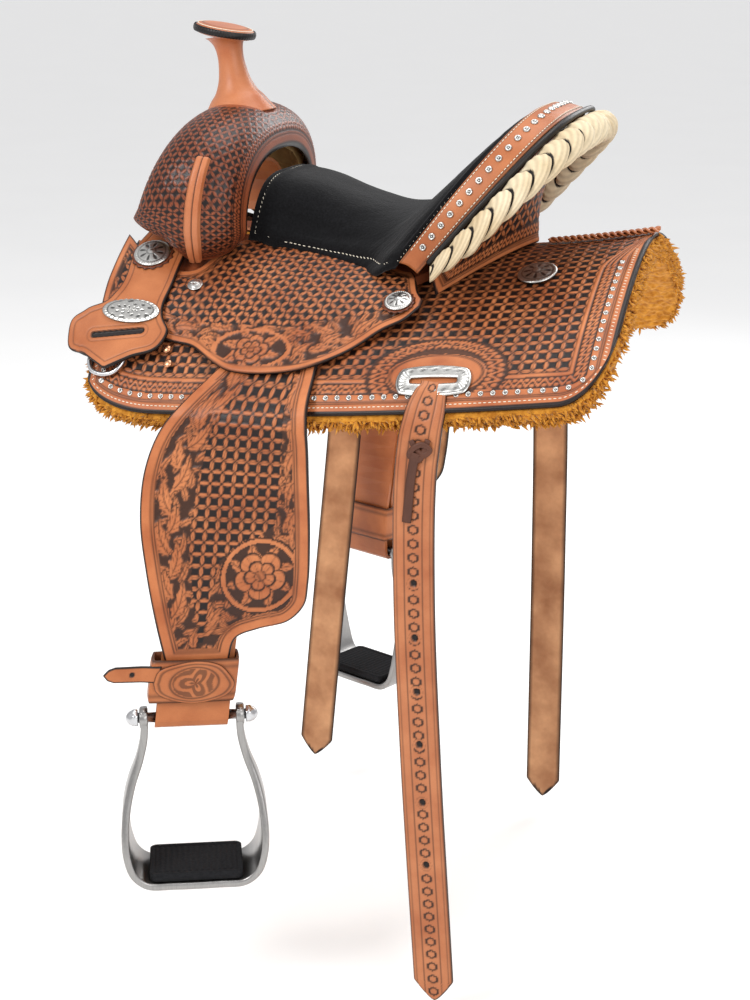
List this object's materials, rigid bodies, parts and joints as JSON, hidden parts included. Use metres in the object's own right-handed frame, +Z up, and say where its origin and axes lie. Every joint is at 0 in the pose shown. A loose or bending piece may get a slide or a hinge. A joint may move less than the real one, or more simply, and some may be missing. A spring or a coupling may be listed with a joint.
{
  "type": "western saddle",
  "caption": "Western saddle with a roping horn, carved leather covers, a rope-wound cantle, fleece-lined skirts, fenders, metal stirrups and hanging billets.",
  "frame": {"origin": "on the mid-plane, mid-length of the skirts, at the underside of the fleece at the crown of the arch, where a rack or the horse's back carries the saddle", "axes": "+X to the tail, +Y to the horse's right (off side), +Z up"},
  "size_m": [0.6017, 0.734, 1.0176],
  "materials": {
    "tree_wood": "bare wood under rawhide, hidden inside",
    "horn_metal": "cast, hidden inside",
    "swell_leather": "basket-stamped and smooth reddish tan leather, satin",
    "black_binding": "black edge leather, satin",
    "suede": "black suede, matt",
    "tooled_leather": "carved and basket-stamped tan leather with dark dye in the ground, satin",
    "fleece": "golden sheep fleece",
    "rawhide_rope": "cream rawhide over rope",
    "plain_leather": "smooth natural tan leather, satin",
    "engraved_silver": "engraved silver plate with darkened ground",
    "steel": "stainless steel",
    "stirrup_aluminium": "brushed aluminium",
    "tread_rubber": "ribbed black rubber"
  },
  "bodies": {
    "saddle": {"left_skirt": "tooled_leather", "left_fleece": "fleece", "right_skirt": "tooled_leather", "right_fleece": "fleece", "tree_left_bar": "tree_wood", "tree_right_bar": "tree_wood", "seat_pad": "suede", "ground_seat": "tree_wood", "left_seat_jockey": "tooled_leather", "right_seat_jockey": "tooled_leather", "swell_cover": "swell_leather", "tree_fork": "tree_wood", "gullet_cover": "swell_leather", "left_swell_welt": "swell_leather", "right_swell_welt": "swell_leather", "horn_neck_wrap": "swell_leather", "horn_core": "horn_metal", "horn_cap": "swell_leather", "horn_cap_binding": "black_binding", "cantle_back_cover": "tooled_leather", "tree_cantle": "tree_wood", "cantle_face_band": "tooled_leather", "cantle_rope": "rawhide_rope", "cantle_piping": "black_binding", "rear_skirt_braid": "plain_leather", "left_latigo_plate": "plain_leather", "left_oval_plate": "engraved_silver", "right_latigo_plate": "plain_leather", "right_oval_plate": "engraved_silver", "left_slot_plate": "engraved_silver", "right_slot_plate": "engraved_silver", "left_front_concho": "engraved_silver", "left_seat_concho": "engraved_silver", "left_rear_concho": "engraved_silver", "left_jockey_screw": "engraved_silver", "right_front_concho": "engraved_silver", "right_seat_concho": "engraved_silver", "right_rear_concho": "engraved_silver", "right_jockey_screw": "engraved_silver"},
    "left_dee": {"left_dee_ring": "steel"},
    "right_dee": {"right_dee_ring": "steel"},
    "left_fender": {"left_fender": "tooled_leather", "left_stirrup_loop": "plain_leather", "left_hobble_strap": "plain_leather"},
    "right_fender": {"right_fender": "tooled_leather", "right_stirrup_loop": "plain_leather", "right_hobble_strap": "plain_leather"},
    "left_leather": {"left_stirrup_leather": "plain_leather"},
    "right_leather": {"right_stirrup_leather": "plain_leather"},
    "left_stirrup": {"left_stirrup_frame": "stirrup_aluminium", "left_stirrup_tread": "tread_rubber", "left_stirrup_bolt": "steel"},
    "right_stirrup": {"right_stirrup_frame": "stirrup_aluminium", "right_stirrup_tread": "tread_rubber", "right_stirrup_bolt": "steel"},
    "left_rear_billet": {"left_rear_billet": "plain_leather"},
    "right_rear_billet": {"right_rear_billet": "plain_leather"},
    "right_front_billet": {"right_front_billet": "plain_leather"}
  },
  "joints": [
    {"name": "left_leather_swing", "type": "hinge", "parent": "saddle", "child": "left_leather", "pos_m": [-0.128, -0.262, -0.062], "axis": [0, 1, 0], "range_deg": [-12, 35]},
    {"name": "left_fender_lift", "type": "hinge", "parent": "left_leather", "child": "left_fender", "pos_m": [-0.128, -0.2635, -0.061], "axis": [-1, 0, 0], "range_deg": [0, 60]},
    {"name": "left_stirrup_tilt", "type": "hinge", "parent": "left_fender", "child": "left_stirrup", "pos_m": [-0.13625, -0.30215, -0.432], "axis": [0.9135, 0.4067, 0], "range_deg": [-50, 50]},
    {"name": "left_rear_billet_lift", "type": "hinge", "parent": "saddle", "child": "left_rear_billet", "pos_m": [0.108, -0.264, -0.066], "axis": [-1, 0, 0], "range_deg": [0, 75]},
    {"name": "left_dee_rock", "type": "hinge", "parent": "saddle", "child": "left_dee", "pos_m": [-0.264, -0.2043, -0.0664], "axis": [-0.9955, 0.0923, -0.0208], "range_deg": [0, 5]},
    {"name": "right_leather_swing", "type": "hinge", "parent": "saddle", "child": "right_leather", "pos_m": [-0.128, 0.262, -0.062], "axis": [0, 1, 0], "range_deg": [-12, 35]},
    {"name": "right_fender_lift", "type": "hinge", "parent": "right_leather", "child": "right_fender", "pos_m": [-0.128, 0.2635, -0.061], "axis": [1, 0, 0], "range_deg": [0, 60]},
    {"name": "right_stirrup_tilt", "type": "hinge", "parent": "right_fender", "child": "right_stirrup", "pos_m": [-0.13625, 0.30215, -0.432], "axis": [0.9135, -0.4067, 0], "range_deg": [-8, 50]},
    {"name": "right_rear_billet_lift", "type": "hinge", "parent": "saddle", "child": "right_rear_billet", "pos_m": [0.108, 0.264, -0.066], "axis": [1, 0, 0], "range_deg": [0, 75]},
    {"name": "right_dee_rock", "type": "hinge", "parent": "saddle", "child": "right_dee", "pos_m": [-0.264, 0.2043, -0.0664], "axis": [0.9955, 0.0923, 0.0208], "range_deg": [0, 5]},
    {"name": "right_front_billet_lift", "type": "hinge", "parent": "saddle", "child": "right_front_billet", "pos_m": [-0.135, 0.2285, -0.139], "axis": [1, 0, 0], "range_deg": [-40, 0]}
  ]
}
